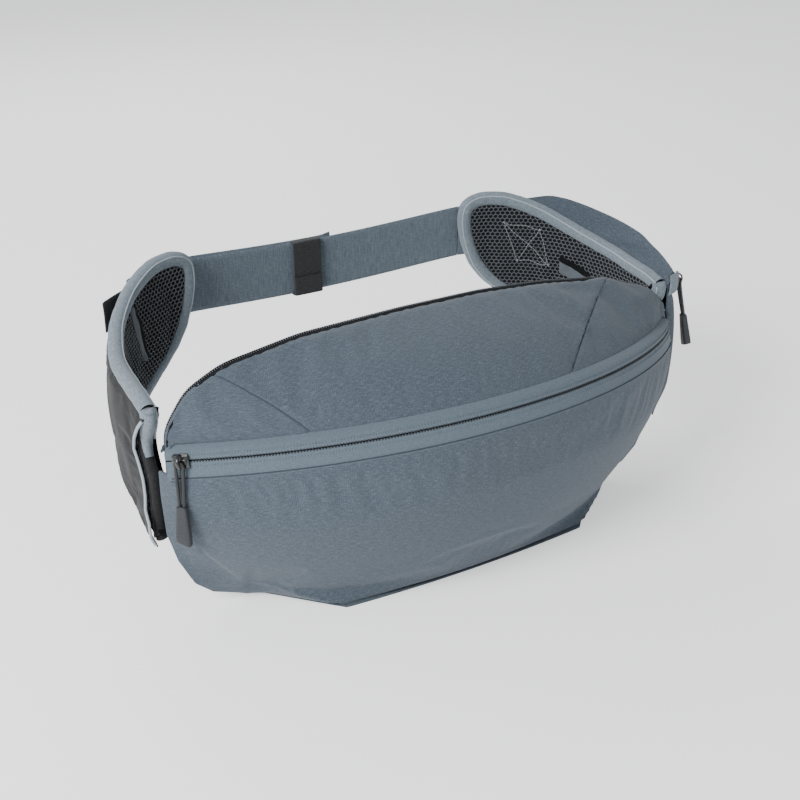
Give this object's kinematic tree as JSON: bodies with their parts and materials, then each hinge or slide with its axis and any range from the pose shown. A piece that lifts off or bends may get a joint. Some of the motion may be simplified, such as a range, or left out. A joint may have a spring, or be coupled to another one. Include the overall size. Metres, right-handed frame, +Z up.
{
  "type": "waist pack",
  "caption": "Heather waist pack with a full-width zip, a padded mesh back, curved padded wings with side pockets, and an elastic belt that closes with hook and loop.",
  "frame": {"origin": "middle of the flat base's underside", "axes": "+X across the pouch, -Y towards its zipped front, +Z up"},
  "size_m": [0.4189, 0.2543, 0.1776],
  "materials": {
    "shell_cloth": "heather polyester weave",
    "base_cloth": "heather polyester weave over a stiffener",
    "lining": "plain weave lining",
    "foam": "soft foam",
    "spacer_mesh": "open knitted spacer mesh",
    "piping": "rolled binding",
    "binding": "rolled heather binding",
    "zip_tape": "ribbed zip tape",
    "zip_coil": "nylon coil",
    "slider_metal": "black lacquered zinc",
    "pull_cord": "black braided cord",
    "pull_grip": "moulded soft plastic",
    "stretch_cloth": "black stretch cloth",
    "hook_loop": "hook and loop",
    "webbing": "elastic ribbed webbing",
    "black_elastic": "black elastic",
    "black_webbing": "black woven tape"
  },
  "bodies": {
    "pouch": {"front_panel": "shell_cloth", "base_panel": "base_cloth", "back_lining": "lining", "back_foam": "foam", "back_mesh": "spacer_mesh", "back_piping": "piping", "lower_tape": "zip_tape", "lower_coil": "zip_coil", "left_zip_end": "zip_tape", "right_zip_end": "zip_tape", "left_shoulder": "shell_cloth", "right_shoulder": "shell_cloth"},
    "lid": {"lid_panel": "shell_cloth", "left_gusset": "shell_cloth", "right_gusset": "shell_cloth", "upper_tape": "zip_tape", "upper_coil": "zip_coil"},
    "main_slider": {"main_slider": "slider_metal"},
    "main_pull": {"main_pull_cord": "pull_cord", "main_pull_grip": "pull_grip"},
    "left_wing": {"left_wing_mesh": "spacer_mesh", "left_wing_foam": "foam", "left_wing_shell": "shell_cloth", "left_wing_binding": "binding", "left_pocket": "stretch_cloth", "loop_patch": "hook_loop"},
    "right_wing": {"right_wing_mesh": "spacer_mesh", "right_wing_foam": "foam", "right_wing_shell": "shell_cloth", "right_wing_binding": "binding", "right_pocket": "shell_cloth", "pocket_tape_low": "zip_tape", "pocket_tape_high": "zip_tape", "pocket_coil": "zip_coil", "belt_anchor": "webbing"},
    "pocket_slider": {"pocket_slider": "slider_metal"},
    "pocket_pull": {"pocket_pull_cord": "pull_cord", "pocket_pull_grip": "pull_grip"},
    "belt": {"belt_strap": "webbing", "belt_tail": "webbing", "hook_patch": "hook_loop", "pull_tab": "black_webbing"},
    "keeper": {"keeper": "black_elastic"}
  },
  "joints": [
    {"name": "lid_fold", "type": "hinge", "parent": "pouch", "child": "lid", "pos_m": [0, 0.0163, 0.175], "axis": [-1, 0, 0], "range_deg": [0, 35]},
    {"name": "main_zip", "type": "hinge", "parent": "pouch", "child": "main_slider", "pos_m": [0, 0.1876, 0.07051], "axis": [0, 0.2571, 0.9664], "range_deg": [0, 88.2]},
    {"name": "main_pull_swing", "type": "hinge", "parent": "main_slider", "child": "main_pull", "pos_m": [-0.18428, 0.00384, 0.1194], "axis": [-0.7299, 0.6835, 0], "range_deg": [-3, 100]},
    {"name": "left_wing_fold", "type": "hinge", "parent": "pouch", "child": "left_wing", "pos_m": [-0.1855, 0.0263, 0.095], "axis": [0, 0, -1], "range_deg": [0, 45]},
    {"name": "right_wing_spread", "type": "hinge", "parent": "pouch", "child": "right_wing", "pos_m": [0.196, 0.0248, 0.095], "axis": [0, 0, -1], "range_deg": [0, 30]},
    {"name": "pocket_zip", "type": "hinge", "parent": "right_wing", "child": "pocket_slider", "pos_m": [0.092, 0.07, 0.143], "axis": [0, 0, 1], "range_deg": [0, 64]},
    {"name": "pocket_pull_swing", "type": "hinge", "parent": "pocket_slider", "child": "pocket_pull", "pos_m": [0.20965, 0.03177, 0.143], "axis": [-0.309, -0.9511, 0], "range_deg": [-3, 100]},
    {"name": "belt_open", "type": "hinge", "parent": "right_wing", "child": "belt", "pos_m": [0.1105, 0.17377, 0.1516], "axis": [0, 0, -1], "range_deg": [0, 60]},
    {"name": "keeper_slide", "type": "hinge", "parent": "belt", "child": "keeper", "pos_m": [0, -0.42313, 0.1516], "axis": [0, 0, 1], "range_deg": [-6, 6]}
  ]
}
